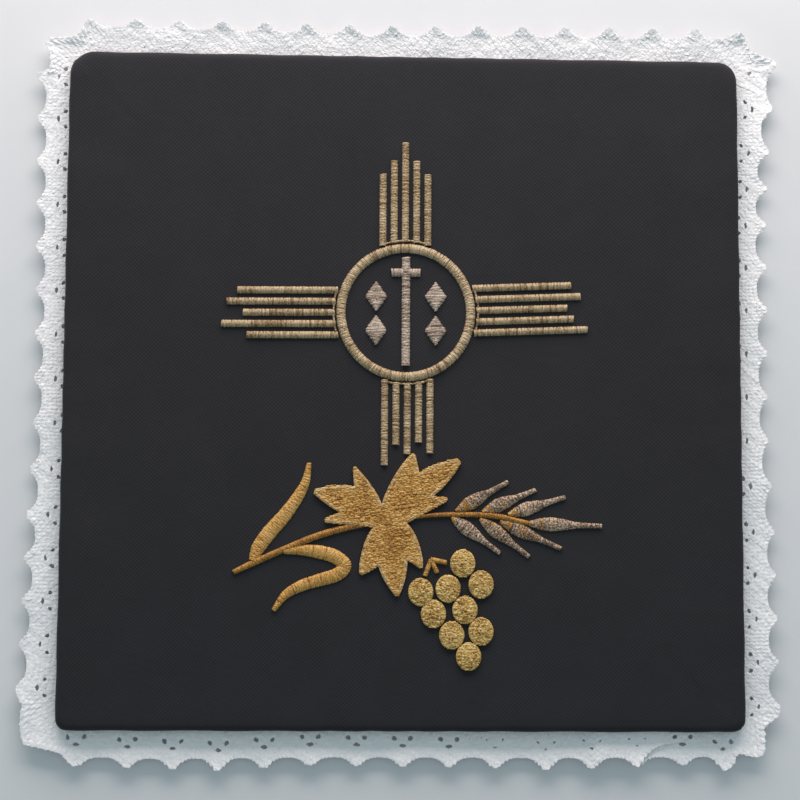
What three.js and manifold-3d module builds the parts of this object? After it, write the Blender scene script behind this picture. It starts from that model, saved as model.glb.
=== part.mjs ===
// A chalice pall: a stiff square board covered in black twill, a white lace edging sewn under
// its rim, and a cross, a vine spray, wheat and grapes stitched in metallic thread on its face.
// Millimetres, +Z up, +Y to the top of the design, the origin at the middle of the underside.

import * as THREE from 'three';
import { mergeVertices } from 'three/addons/utils/BufferGeometryUtils.js';
import Module from 'manifold-3d';

const wasm = await Module();
wasm.setup();

// The covered board
const boardSide = 150;
const boardThickness = 4;
// How far the rounding of each corner runs along its two sides
const cornerRounding = [
  { turn: 180, alongX: 2.2, alongY: 2.4 },
  { turn: 270, alongX: 3.8, alongY: 2.3 },
  { turn: 0, alongX: 4.6, alongY: 4.8 },
  { turn: 90, alongX: 5.4, alongY: 5.3 },
];
const cornerSteps = 6;
const leastRounding = 0.6;
// The rim is stepped back underneath, where the heading of the lace is sewn
const headingWidth = 5.4;
const seatDepth = 1.6;
const seatClearance = 0.5;

// The lace edging
const laceThickness = 1;
const laceHeight = 0.8;
const headingRounding = 2;
const curlWidth = 2.6;
const edgeClearance = 0.3;
// Past the board the strip lies a little higher, in slow ripples, each with its own direction
const freeLift = 0.8;
const ripples = [
  { amount: 0.16, alongX: 0.21, alongY: 0.17, phase: 0.4 },
  { amount: 0.12, alongX: 0.21, alongY: -0.17, phase: 0.4 },
  { amount: 0.12, alongX: 0.33, alongY: -0.33, phase: 0 },
];
const scallopSharpness = 1.5;
const endTipWidth = 1;
const endTipSlope = 0.3;
// Where the points of a scallop lie, in parts of the way from one tip to the next
const scallopSteps = [0.05, 0.27, 0.5, 0.73, 0.95];
// Each side, going round anticlockwise: where its tips lie along it, how far they reach past
// the board, and how far the dip after each one does. Tips between two rows are spaced evenly.
const laceSides = [
  {
    heading: 0,
    curl: 0.3,
    rows: [
      { tip: 0, at: -70.7, reach: 8.2, dip: 5.8 },
      { tip: 1, at: -59.6, reach: 8.7, dip: 6.3 },
      { tip: 3, at: -40, reach: 9.4, dip: 6.2 },
      { tip: 5, at: -20.1, reach: 8, dip: 5.9 },
      { tip: 9, at: 20.2, reach: 8.6, dip: 5.9 },
      { tip: 10, at: 31.4, reach: 9.1, dip: 6 },
      { tip: 13, at: 61.4, reach: 7.8, dip: 5.7 },
      { tip: 14, at: 70.3, reach: 8.9, dip: 5.6 },
    ],
  },
  {
    heading: 90,
    curl: 0.5,
    rows: [
      { tip: 0, at: -69.6, reach: 8.5, dip: 5.8 },
      { tip: 4, at: -31.3, reach: 7.9, dip: 5.9 },
      { tip: 6, at: -10.9, reach: 6.7, dip: 4.7 },
      { tip: 11, at: 37.9, reach: 7.1, dip: 4.3 },
      { tip: 13, at: 54.5, reach: 7.9, dip: 5.2 },
      { tip: 15, at: 74.8, reach: 9.9, dip: 8 },
    ],
  },
  {
    heading: 180,
    curl: 1.6,
    rows: [
      { tip: 0, at: -75.9, reach: 7.7, dip: 6.1 },
      { tip: 1, at: -66.1, reach: 8.6, dip: 5.9 },
      { tip: 6, at: -16.7, reach: 8.4, dip: 5.7 },
      { tip: 8, at: 3, reach: 8, dip: 5.4 },
      { tip: 14, at: 60.4, reach: 8.5, dip: 6.4 },
      { tip: 15, at: 70.9, reach: 8.2, dip: 6.5 },
    ],
  },
  {
    heading: 270,
    curl: 0.5,
    rows: [
      { tip: 0, at: -69.7, reach: 7.8, dip: 5.6 },
      { tip: 5, at: -21.2, reach: 7.2, dip: 4.8 },
      { tip: 8, at: 8.3, reach: 6.9, dip: 4.9 },
      { tip: 10, at: 28.6, reach: 7.9, dip: 5.4 },
      { tip: 14, at: 66, reach: 9.3, dip: 7 },
    ],
  },
];
// The edge round the corner after each side, where the strip is eased or folded over
const laceCorners = [
  [[72.2, -82.7], [73.4, -80], [75.4, -80], [76.6, -80.6], [78.6, -80.6], [79.5, -79.6], [79.4, -74.5],
    [80.6, -73.3], [82.9, -71.6]],
  [[83.9, 76.1], [81.8, 76.8], [79.5, 77.8], [78.4, 79], [77.4, 81.2]],
  [[-71.9, 82.3], [-73.4, 79.6], [-75.2, 78.7], [-77.6, 78.5], [-80.1, 78.3], [-80.8, 77.3], [-80, 75.4],
    [-79.5, 73], [-80.2, 70.9]],
  [[-83.4, -68.2], [-82.4, -69.6], [-82.4, -77], [-81.8, -78.3], [-79.1, -78.8], [-76.1, -79.5],
    [-73.6, -80.3], [-72.2, -82.1]],
];

// The embroidery on the face
const reliefHeight = 0.7;
const ringRadius = 15.4;
const ringBand = 2;
const ringSegments = 48;
const designCentre = { x: 0.2, y: 16.7 };
const rayWidth = 1.5;
const raySpacing = 2.5;
const rayHeight = 0.6;
const rayClearance = 0.4;
// The rays stand in steps: every arm has five, each with its own reach from the ring's centre
const rayArms = [
  { name: 'right', turn: 0, shift: 0.55, lean: 2.4, reaches: [40.4, 37.3, 35.9, 38.9, 36.8] },
  { name: 'up', turn: 90, shift: 0.2, lean: 0, reaches: [31.1, 34.1, 38.3, 34.2, 31.1] },
  { name: 'left', turn: 180, shift: 0.2, lean: 0.5, reaches: [37.3, 39.6, 36, 40.7, 35.1] },
  { name: 'down', turn: 270, shift: 0.4, lean: 0, reaches: [34, 29.5, 31.5, 28.9, 31.3] },
];
const crossHeight = 24.2;
const crossLift = 0.2;
const crossWidth = 1.8;
const crossBar = { length: 6.4, width: 1.8, drop: 3.4 };
const lozenge = { width: 4.6, height: 6.4 };
const lozengePlaces = [
  { name: 'top_left', x: -6.6, y: 3.5 },
  { name: 'top_right', x: 6.6, y: 3.5 },
  { name: 'bottom_left', x: -6.6, y: -4.1 },
  { name: 'bottom_right', x: 6.6, y: -4.1 },
];

const leafCentre = { x: -2.6, y: -28.8 };
// The vine leaf's three lobes: where a lobe points and how far, the tooth on either side of it,
// with how full the flank behind the tooth is, and where the edge forks after it. Angles run
// anticlockwise from +X.
const leafLobes = [
  {
    aim: 40.4,
    reach: 19.4,
    before: { turn: 21.3, tooth: 12.8, full: 0.8 },
    after: { turn: 30.9, tooth: 14.7, full: 1.1 },
    fork: { aim: 131, reach: 3.6 },
  },
  {
    aim: 162,
    reach: 18,
    before: { turn: 34.4, tooth: 13.8, full: 0.3 },
    after: { turn: 21, tooth: 14.8, full: 0.6 },
    fork: { aim: 209, reach: 4.6 },
  },
  {
    aim: 273.8,
    reach: 17.1,
    before: { turn: 32.4, tooth: 14.2, full: 1.1 },
    after: { turn: 26.9, tooth: 12.7, full: 1.35 },
    fork: { aim: 337, reach: 3.4 },
  },
];
const notchTurn = 0.6;
const notchReach = 0.78;
const bluntness = 1.5;
const stemLine = {
  points: [[-37.1, -40.9], [-32.5, -38.7], [-26, -35.8], [-18, -32.6], [-8, -30], [4, -28.4], [12, -28],
    [20, -28.3], [27.3, -29.8]],
  widths: [1, 1.3, 1.3, 1.3, 1.4, 1.3, 1.2, 1.3, 0.9],
};
const straightBlade = {
  points: [[-32.9, -38.4], [-31.8, -35.6], [-29.3, -32.1], [-26.1, -28.4], [-23.3, -24.4], [-21.6, -21],
    [-20.9, -17]],
  widths: [1.8, 3, 3.2, 3, 2.5, 1.8, 0.9],
};
const foldedBlade = {
  points: [[-26.2, -36.2], [-22.5, -36], [-18.6, -36.4], [-15.1, -37.4], [-12.9, -39.3], [-14.6, -41.3],
    [-18.4, -42.5], [-22.4, -43.8], [-25.8, -45.8], [-28.3, -49.1]],
  widths: [1.3, 2.2, 2.9, 3, 2.9, 2.9, 2.7, 2.4, 1.8, 0.9],
};
const bladeSteps = 3;

const grainWidth = 2.9;
// Half of a grain's outline, from its root on the stem to the end of its awn: how far along, as a
// share of its length, and how far from its middle, as a share of its width
const grainSide = [[0, 0.1], [0.15, 0.36], [0.3, 0.5], [0.48, 0.4], [0.68, 0.22], [1, 0.17]];
const wheatEar = [
  { name: 'top_1', x: 12.1, y: -26.9, aim: 29.7, length: 12.3 },
  { name: 'top_2', x: 18, y: -27.1, aim: 22.9, length: 11.9 },
  { name: 'top_3', x: 23.7, y: -27.7, aim: 17.4, length: 12.3 },
  { name: 'end', x: 27.7, y: -29.9, aim: -1.6, length: 15.8 },
  { name: 'bottom_1', x: 11.1, y: -29.1, aim: -36.2, length: 12.2 },
  { name: 'bottom_2', x: 17.3, y: -29.4, aim: -37.3, length: 12.8 },
  { name: 'bottom_3', x: 21.8, y: -29.8, aim: -23.6, length: 13.8 },
];

const grape = { radius: 2.65, tallness: 1.07, segments: 14 };
// The bunch hangs a little askew: its rows lie a step apart, and each one rises to the right
const grapeRows = [[12.9], [3.7, 9.7, 16.9], [6.5, 13.4], [10.5, 16.9], [14.2]];
const bunchTop = -39.1;
const grapeRowStep = 5.1;
const grapeRowRise = 0.13;
const bunchMiddle = 10;
const stalkProngs = [
  { aim: -11, length: 3.4 },
  { aim: -66, length: 3.2 },
  { aim: 249, length: 3.7 },
];
const stalkWidth = 0.8;
const stalkFork = { x: 6, y: -37.9 };

// Finishes
const blackTwill = new THREE.MeshStandardMaterial({ color: 0x2c2d31, roughness: 0.9, metalness: 0 });
const whiteCotton = new THREE.MeshStandardMaterial({ color: 0xeeeef0, roughness: 0.95, metalness: 0 });
const oldGoldThread = new THREE.MeshStandardMaterial({ color: 0xb08f5c, roughness: 0.45, metalness: 0.5 });
const paleThread = new THREE.MeshStandardMaterial({ color: 0xb9a592, roughness: 0.45, metalness: 0.5 });
const leafGoldThread = new THREE.MeshStandardMaterial({ color: 0xc08a3e, roughness: 0.45, metalness: 0.5 });
const grapeGoldThread = new THREE.MeshStandardMaterial({ color: 0xc9a254, roughness: 0.45, metalness: 0.5 });

const radians = THREE.MathUtils.degToRad;

// A skin over a stack of loops with equally many points, each going anticlockwise. The stack
// rises and is capped at both ends, or it comes round on itself.
function skin(loops, comesRound = false) {
  const count = loops[0].length;
  const corners = loops.flat();
  const faces = [];
  const bands = comesRound ? loops.length : loops.length - 1;
  for (let band = 0; band < bands; band++) {
    const low = band * count;
    const high = ((band + 1) % loops.length) * count;
    for (let i = 0; i < count; i++) {
      const j = (i + 1) % count;
      faces.push(low + i, low + j, high + j, low + i, high + j, high + i);
    }
  }
  if (!comesRound) {
    const top = (loops.length - 1) * count;
    const flat = (loop) => loop.map((p) => new THREE.Vector2(p.x, p.y));
    THREE.ShapeUtils.triangulateShape(flat(loops.at(-1)), []).forEach((t) => {
      faces.push(...t.map((i) => top + i));
    });
    THREE.ShapeUtils.triangulateShape(flat(loops[0]), []).forEach(([a, b, c]) => faces.push(a, c, b));
  }
  const geometry = new THREE.BufferGeometry();
  geometry.setAttribute('position', new THREE.Float32BufferAttribute(corners.flatMap((p) => p.toArray()), 3));
  geometry.setIndex(faces);
  geometry.computeVertexNormals();
  return geometry;
}

// The board's outline drawn in by an inset, at a height
function boardLoop({ inset, height }) {
  return cornerRounding.flatMap(({ turn, alongX, alongY }) => {
    const rx = Math.max(alongX - inset, leastRounding);
    const ry = Math.max(alongY - inset, leastRounding);
    const sideX = Math.sign(Math.cos(radians(turn + 45)));
    const sideY = Math.sign(Math.sin(radians(turn + 45)));
    return Array.from({ length: cornerSteps + 1 }, (_, step) => {
      const angle = radians(turn + (90 * step) / cornerSteps);
      return new THREE.Vector3(
        sideX * (boardSide / 2 - inset - rx) + rx * Math.cos(angle),
        sideY * (boardSide / 2 - inset - ry) + ry * Math.sin(angle),
        height,
      );
    });
  });
}

function coveredBoard() {
  const seatInset = headingWidth + seatClearance;
  const profile = [
    { inset: seatInset + 0.4, height: 0 },
    { inset: seatInset, height: 0.4 },
    { inset: seatInset, height: seatDepth },
    { inset: 0.6, height: seatDepth },
    { inset: 0.1, height: seatDepth + 0.4 },
    { inset: 0, height: boardThickness - 1.2 },
    { inset: 0.4, height: boardThickness - 0.4 },
    { inset: 1.3, height: boardThickness },
  ];
  return skin(profile.map(boardLoop));
}

// The value of a column at a tip's number, run evenly between the rows that name it
function between(rows, column, tip) {
  const next = rows.find((row) => row.tip >= tip) ?? rows.at(-1);
  const last = rows[Math.max(rows.indexOf(next) - 1, 0)];
  const share = next === last ? 0 : (tip - last.tip) / (next.tip - last.tip);
  return THREE.MathUtils.lerp(last[column], next[column], share);
}

// The scalloped edge of one side, as places on the plane, with the curl of its tips
function scallops({ heading, curl, rows }) {
  const turned = (along, out) => new THREE.Vector2(along, -boardSide / 2 - out)
    .rotateAround(new THREE.Vector2(), radians(heading));
  const edge = [];
  const lastTip = rows.at(-1).tip;
  for (let tip = 0; tip < lastTip; tip++) {
    for (const step of scallopSteps) {
      const at = THREE.MathUtils.lerp(between(rows, 'at', tip), between(rows, 'at', tip + 1), step);
      const reach = between(rows, 'reach', tip + step);
      const dip = between(rows, 'dip', tip + 0.5);
      const nearTip = (1 - Math.sin(Math.PI * step)) ** scallopSharpness;
      edge.push({ place: turned(at, dip + (reach - dip) * nearTip), curl });
    }
  }
  const first = turned(rows[0].at - endTipWidth / 2, rows[0].reach - endTipSlope);
  const last = turned(rows.at(-1).at + endTipWidth / 2, rows.at(-1).reach - endTipSlope);
  return [{ place: first, curl }, ...edge, { place: last, curl }];
}

// The lace strip: its heading lies under the rim of the board, and its edge ripples a little
function laceEdging() {
  const edge = laceSides.flatMap((side, i) => {
    const nextCurl = laceSides[(i + 1) % laceSides.length].curl;
    const corner = laceCorners[i].map(([x, y], k, all) => ({
      place: new THREE.Vector2(x, y),
      curl: THREE.MathUtils.lerp(side.curl, nextCurl, (k + 1) / (all.length + 1)),
    }));
    return [...scallops(side), ...corner];
  });
  const seat = boardSide / 2 - headingWidth - headingRounding;
  const rays = edge.map(({ place, curl }) => {
    const inner = new THREE.Vector2(
      THREE.MathUtils.clamp(place.x, -seat, seat),
      THREE.MathUtils.clamp(place.y, -seat, seat),
    );
    const out = place.clone().sub(inner).normalize();
    return { start: inner.addScaledVector(out, headingRounding), out, place, curl };
  });
  const liftAt = ({ x, y }) => ripples.reduce(
    (lift, { amount, alongX, alongY, phase }) => lift + amount * Math.sin(alongX * x + alongY * y + phase),
    freeLift,
  );
  const loop = (spot, side) => rays.map((ray) => {
    const { place, lift } = spot(ray);
    return new THREE.Vector3(place.x, place.y, laceHeight + lift + (side * laceThickness) / 2);
  });
  const spots = [
    ({ start }) => ({ place: start, lift: 0 }),
    ({ start, out }) => ({
      place: start.clone().addScaledVector(out, headingWidth + edgeClearance),
      lift: 0,
    }),
    ({ place, out }) => ({ place: place.clone().addScaledVector(out, -curlWidth), lift: liftAt(place) }),
    ({ place, curl }) => ({ place, lift: liftAt(place) + curl }),
  ];
  const under = spots.map((spot) => loop(spot, -1));
  const over = spots.map((spot) => loop(spot, 1)).reverse();
  return skin([...under, ...over], true);
}

// The rounded back of a satin-stitched column, as points from one foot to the other
function satinArch(width, height) {
  return [[-0.5, 0], [-0.42, 0.5], [-0.2, 0.9], [0.2, 0.9], [0.42, 0.5], [0.5, 0]]
    .map(([across, up]) => new THREE.Vector2(across * width, (up / 0.9) * height));
}

function satinRing() {
  const section = satinArch(ringBand, reliefHeight)
    .map((p) => new THREE.Vector2(ringRadius - ringBand / 2 - p.x, p.y));
  const ring = new THREE.LatheGeometry([...section, section[0]], ringSegments);
  return ring.rotateX(Math.PI / 2);
}

// A straight satin column from the origin along +X
function satinColumn(length, width, height) {
  const column = new THREE.ExtrudeGeometry(new THREE.Shape(satinArch(width, height).reverse()), {
    depth: length,
    bevelEnabled: false,
  });
  return column.rotateX(Math.PI / 2).rotateZ(Math.PI / 2);
}

function solidOf(geometry) {
  const bare = geometry.clone();
  bare.deleteAttribute('normal');
  bare.deleteAttribute('uv');
  const merged = mergeVertices(bare, 1e-4);
  const mesh = new wasm.Mesh({
    numProp: 3,
    vertProperties: new Float32Array(merged.attributes.position.array),
    triVerts: new Uint32Array(merged.index.array),
  });
  return new wasm.Manifold(mesh);
}

function geometryOf(solid) {
  const mesh = solid.getMesh();
  const geometry = new THREE.BufferGeometry();
  geometry.setAttribute('position', new THREE.Float32BufferAttribute(mesh.vertProperties, 3));
  geometry.setIndex([...mesh.triVerts]);
  geometry.computeVertexNormals();
  return geometry;
}

// A flat patch of fill stitches with the outline of a shape
function patch(shape, curveSegments = 3) {
  return new THREE.ExtrudeGeometry(shape, { depth: reliefHeight, bevelEnabled: false, curveSegments });
}

// The outline of a blade or stem that follows a line and changes its width along it
function ribbon({ points, widths }) {
  const line = new THREE.CatmullRomCurve3(points.map(([x, y]) => new THREE.Vector3(x, y, 0)));
  const steps = (points.length - 1) * bladeSteps;
  const sides = { left: [], right: [] };
  for (let step = 0; step <= steps; step++) {
    const along = step / steps;
    const place = line.getPoint(along);
    const way = line.getTangent(along);
    const spot = along * (widths.length - 1);
    const before = Math.min(Math.floor(spot), widths.length - 2);
    const half = THREE.MathUtils.lerp(widths[before], widths[before + 1], spot - before) / 2;
    sides.left.push(new THREE.Vector2(place.x - way.y * half, place.y + way.x * half));
    sides.right.unshift(new THREE.Vector2(place.x + way.y * half, place.y - way.x * half));
  }
  return new THREE.Shape([...sides.left, ...sides.right].reverse());
}

// The leaf: round each lobe the outline runs flank, tooth, notch, point, notch, tooth, flank,
// and it falls back to the fork after that lobe
function leafOutline() {
  const at = (angle, reach) => [
    leafCentre.x + reach * Math.cos(radians(angle)),
    leafCentre.y + reach * Math.sin(radians(angle)),
  ];
  const shape = new THREE.Shape();
  const lastFork = leafLobes[leafLobes.length - 1].fork;
  shape.moveTo(...at(lastFork.aim, lastFork.reach));
  leafLobes.forEach(({ aim, reach, before, after, fork }) => {
    const flank = ({ turn, tooth, full }, side) => [
      at(aim + side * turn * (1 + full), tooth * 0.42),
      at(aim + side * turn * (1 + 0.3 * full), tooth * 0.84),
    ];
    const tooth = ({ turn, tooth: length }, side) => [
      at(aim + side * (turn + bluntness), length),
      at(aim + side * (turn - bluntness), length),
    ];
    const notch = ({ turn, tooth: length }, side) => at(aim + side * turn * notchTurn, length * notchReach);
    const [rootBefore, swellBefore] = flank(before, -1);
    const [outerBefore, innerBefore] = tooth(before, -1);
    shape.bezierCurveTo(...rootBefore, ...swellBefore, ...outerBefore);
    shape.lineTo(...innerBefore);
    shape.lineTo(...notch(before, -1));
    shape.quadraticCurveTo(...at(aim - before.turn * 0.4, reach * 0.8), ...at(aim - bluntness, reach));
    shape.lineTo(...at(aim + bluntness, reach));
    shape.quadraticCurveTo(...at(aim + after.turn * 0.4, reach * 0.8), ...notch(after, 1));
    const [rootAfter, swellAfter] = flank(after, 1);
    const [outerAfter, innerAfter] = tooth(after, 1);
    shape.lineTo(...innerAfter);
    shape.lineTo(...outerAfter);
    shape.bezierCurveTo(...swellAfter, ...rootAfter, ...at(fork.aim, fork.reach));
  });
  return shape;
}

function vineSpray() {
  const pieces = [ribbon(stemLine), ribbon(straightBlade), ribbon(foldedBlade), leafOutline()];
  return geometryOf(pieces.map((shape) => solidOf(patch(shape))).reduce((whole, piece) => whole.add(piece)));
}

// A grain with a full belly and a long narrow awn, from the origin along +X
function wheatGrain(length) {
  const side = (sign) => grainSide
    .map(([along, out]) => new THREE.Vector2(along * length, sign * out * grainWidth));
  const outline = new THREE.Shape();
  const [root, ...lower] = side(-1);
  outline.moveTo(root.x, root.y);
  outline.splineThru(lower);
  const [tip, ...upper] = side(1).reverse();
  outline.lineTo(tip.x, tip.y);
  outline.splineThru(upper);
  return patch(outline, 2);
}

function singleGrape() {
  const profile = [[0, 0], [0.97, 0], [1, 0.35], [0.86, 0.8], [0, 1]]
    .map(([out, up]) => new THREE.Vector2(out * grape.radius, up * reliefHeight));
  return new THREE.LatheGeometry(profile, grape.segments)
    .rotateX(Math.PI / 2)
    .scale(1, grape.tallness, 1);
}

function forkedStalk() {
  const prongs = stalkProngs.map(({ aim, length }) => solidOf(
    patch(new THREE.Shape([
      new THREE.Vector2(-stalkWidth / 2, -stalkWidth / 2),
      new THREE.Vector2(length, -stalkWidth / 2),
      new THREE.Vector2(length, stalkWidth / 2),
      new THREE.Vector2(-stalkWidth / 2, stalkWidth / 2),
    ])).rotateZ(radians(aim)),
  ));
  return geometryOf(prongs.reduce((whole, prong) => whole.add(prong)));
}

function plainCross() {
  const half = crossWidth / 2;
  const top = crossHeight / 2;
  const barTop = top - crossBar.drop + crossBar.width / 2;
  const barEnd = crossBar.length / 2;
  const right = [[half, -top], [half, barTop - crossBar.width], [barEnd, barTop - crossBar.width],
    [barEnd, barTop], [half, barTop], [half, top]];
  const left = right.map(([x, y]) => [-x, y]).reverse();
  return patch(new THREE.Shape([...right, ...left].map(([x, y]) => new THREE.Vector2(x, y))));
}

function lozengePatch() {
  const { width, height } = lozenge;
  return patch(new THREE.Shape([[width, 0], [0, height], [-width, 0], [0, -height]]
    .map(([x, y]) => new THREE.Vector2(x / 2, y / 2))));
}

function named(name, geometry, material, x = 0, y = 0, turn = 0) {
  const mesh = new THREE.Mesh(geometry, material);
  mesh.name = name;
  mesh.position.set(x, y, 0);
  mesh.rotation.z = radians(turn);
  return mesh;
}

function rayedCross() {
  const group = new THREE.Group();
  group.position.set(designCentre.x, designCentre.y, 0);
  group.add(named('ring', satinRing(), oldGoldThread));
  for (const { name, turn, shift, lean, reaches } of rayArms) {
    const arm = new THREE.Group();
    arm.rotation.z = radians(turn);
    reaches.forEach((reach, i) => {
      const across = (i - 2) * raySpacing + shift;
      const start = Math.sqrt((ringRadius + rayClearance) ** 2 - across ** 2);
      arm.add(named(`ray_${name}_${i + 1}`, satinColumn(reach - start, rayWidth, rayHeight), oldGoldThread,
        start, across, lean));
    });
    group.add(arm);
  }
  group.add(named('inner_cross', plainCross(), paleThread, 0, crossLift));
  for (const { name, x, y } of lozengePlaces) {
    group.add(named(`lozenge_${name}`, lozengePatch(), paleThread, x, y));
  }
  return group;
}

function harvest() {
  const group = new THREE.Group();
  group.add(named('vine_spray', vineSpray(), leafGoldThread));
  for (const { name, x, y, aim, length } of wheatEar) {
    group.add(named(`wheat_grain_${name}`, wheatGrain(length), paleThread, x, y, aim));
  }
  grapeRows.forEach((places, row) => {
    places.forEach((x, i) => {
      const y = bunchTop - row * grapeRowStep + (x - bunchMiddle) * grapeRowRise;
      group.add(named(`grape_${row + 1}_${i + 1}`, singleGrape(), grapeGoldThread, x, y));
    });
  });
  group.add(named('grape_stalk', forkedStalk(), leafGoldThread, stalkFork.x, stalkFork.y));
  return group;
}

const pall = new THREE.Group();
pall.add(named('covered_board', coveredBoard(), blackTwill));
pall.add(named('lace_edging', laceEdging(), whiteCotton));
const embroidery = new THREE.Group();
embroidery.position.z = boardThickness;
embroidery.add(rayedCross(), harvest());
pall.add(embroidery);

export default pall;
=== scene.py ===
import math

import bmesh
import bpy
import numpy as np
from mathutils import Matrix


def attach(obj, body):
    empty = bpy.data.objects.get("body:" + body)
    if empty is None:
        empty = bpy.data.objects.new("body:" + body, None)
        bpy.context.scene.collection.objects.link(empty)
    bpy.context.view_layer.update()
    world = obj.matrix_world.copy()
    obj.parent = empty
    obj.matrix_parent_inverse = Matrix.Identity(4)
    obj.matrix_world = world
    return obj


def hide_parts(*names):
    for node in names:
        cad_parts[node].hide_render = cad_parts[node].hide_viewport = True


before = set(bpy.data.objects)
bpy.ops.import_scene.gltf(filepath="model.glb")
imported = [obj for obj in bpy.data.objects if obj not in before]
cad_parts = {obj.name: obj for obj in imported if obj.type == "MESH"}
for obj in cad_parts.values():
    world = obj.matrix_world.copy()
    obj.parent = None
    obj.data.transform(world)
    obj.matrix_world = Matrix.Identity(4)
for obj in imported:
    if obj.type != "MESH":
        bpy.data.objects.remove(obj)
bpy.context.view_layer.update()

# The covered board: a stiff square card wrapped in black wool twill. The cloth is pulled over
# the rim, turned under and stitched down, and the rim is stepped back there for the lace.
MM = 0.001
cover_side = 150.4 * MM
widest_height = 2.4 * MM
widest_band = 0.8 * MM
side_cuts = 47
closeness = 1e-6
corner_radii = [
    # corner (x, y), how far its rounding runs along X and along Y
    ((-1, -1), 2.2, 2.4),
    ((1, -1), 3.8, 2.3),
    ((1, 1), 4.6, 4.8),
    ((-1, 1), 5.4, 5.3),
]
# Over the rim and under it: how far in from the rim each ring of the cloth is, and its rise
top_rings = [
    (0.12, 0.45), (0.42, 0.42), (0.92, 0.25), (1.62, 0.08), (3, 0), (5, 0), (7, 0), (10, 0), (15, 0)]
under_rings = [(0.12, 0.25), (0.6, 0.15), (6.1, 0), (6.11, 1.25), (6.5, 0.35), (15, 0), (15.4, -0.25)]
twill_black = (0.0122, 0.0118, 0.0136, 1)
twill_worn = (0.0268, 0.0255, 0.0298, 1)
twill_pitch = 0.62 * MM


def deselect():
    bpy.ops.object.select_all(action="DESELECT")


def choose(kind, test):
    """Selects, in edit mode, only the verts, edges or faces that pass the test."""
    bpy.ops.mesh.select_mode(type=kind)
    bpy.ops.mesh.select_all(action="DESELECT")
    mesh = bmesh.from_edit_mesh(bpy.context.object.data)
    items = {"VERT": mesh.verts, "EDGE": mesh.edges, "FACE": mesh.faces}[kind]
    for item in items:
        if test(item):
            item.select_set(True)
    bmesh.update_edit_mesh(bpy.context.object.data)


def add_node(tree, kind, inputs=None, **settings):
    """A shader node with its settings made and its inputs filled with values or with links."""
    node = tree.nodes.new(kind)
    for name, value in settings.items():
        setattr(node, name, value)
    for name, value in (inputs or {}).items():
        if isinstance(value, bpy.types.NodeSocket):
            tree.links.new(value, node.inputs[name])
        else:
            node.inputs[name].default_value = value
    return node


def add_maths(tree, operation, *values):
    """The result of a Math node over values or links."""
    return add_node(tree, "ShaderNodeMath", dict(enumerate(values)), operation=operation).outputs[0]


def ramp(tree, factor, *stops):
    """A colour ramp through stops of (place, colour)."""
    node = add_node(tree, "ShaderNodeValToRGB", {"Fac": factor})
    while len(node.color_ramp.elements) < len(stops):
        node.color_ramp.elements.new(0.5)
    for element, (place, colour) in zip(node.color_ramp.elements, stops):
        element.position = place
        element.color = colour
    return node.outputs["Color"]


def add_noise(tree, place, scale, detail, roughness=0.5):
    """The value of a Noise node over a piece."""
    return add_node(tree, "ShaderNodeTexNoise", {
        "Vector": place,
        "Scale": scale,
        "Detail": detail,
        "Roughness": roughness,
    }).outputs["Fac"]


def add_bump(tree, shader, height, strength, depth):
    bump = add_node(tree, "ShaderNodeBump", {"Height": height, "Strength": strength, "Distance": depth})
    tree.links.new(bump.outputs["Normal"], shader.inputs["Normal"])


def new_material(name):
    material = bpy.data.materials.new(name)
    material.use_nodes = True
    return material, material.node_tree, material.node_tree.nodes["Principled BSDF"]


def black_twill():
    material, tree, shader = new_material("black_twill")
    place = add_node(tree, "ShaderNodeTexCoord").outputs["Object"]

    def ridges(degrees, pitch, distortion):
        turned = add_node(tree, "ShaderNodeMapping", {
            "Vector": place,
            "Rotation": (0, 0, math.radians(degrees)),
        })
        return add_node(tree, "ShaderNodeTexWave", {
            "Vector": turned.outputs["Vector"],
            "Scale": 0.314 / pitch,
            "Distortion": distortion,
            "Detail": 2,
            "Detail Scale": 1.5,
        }).outputs["Fac"]

    # The wales climb to the right, and each is broken into short floats
    wales = ridges(45, twill_pitch, 1.6)
    floats = ridges(-48, twill_pitch, 2.2)
    fluff = add_noise(tree, place, 750, 5, 0.7)
    slow = add_noise(tree, place, 90, 5, 0.65)
    weave = add_maths(tree, "MULTIPLY_ADD", floats, 0.6, wales)
    weave = add_maths(tree, "MULTIPLY_ADD", fluff, 2, weave)
    tone = add_maths(tree, "MULTIPLY_ADD", weave, 0.16, add_maths(tree, "MULTIPLY", slow, 0.5))
    tree.links.new(ramp(tree, tone, (0.25, twill_black), (1, twill_worn)), shader.inputs["Base Color"])
    add_bump(tree, shader, weave, 0.3, 0.08 * MM)
    shader.inputs["Roughness"].default_value = 0.88
    shader.inputs["Specular IOR Level"].default_value = 0.3
    shader.inputs["Sheen Weight"].default_value = 0.07
    shader.inputs["Sheen Roughness"].default_value = 0.5
    shader.inputs["Sheen Tint"].default_value = (0.9, 0.88, 1, 1)
    return material


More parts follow.
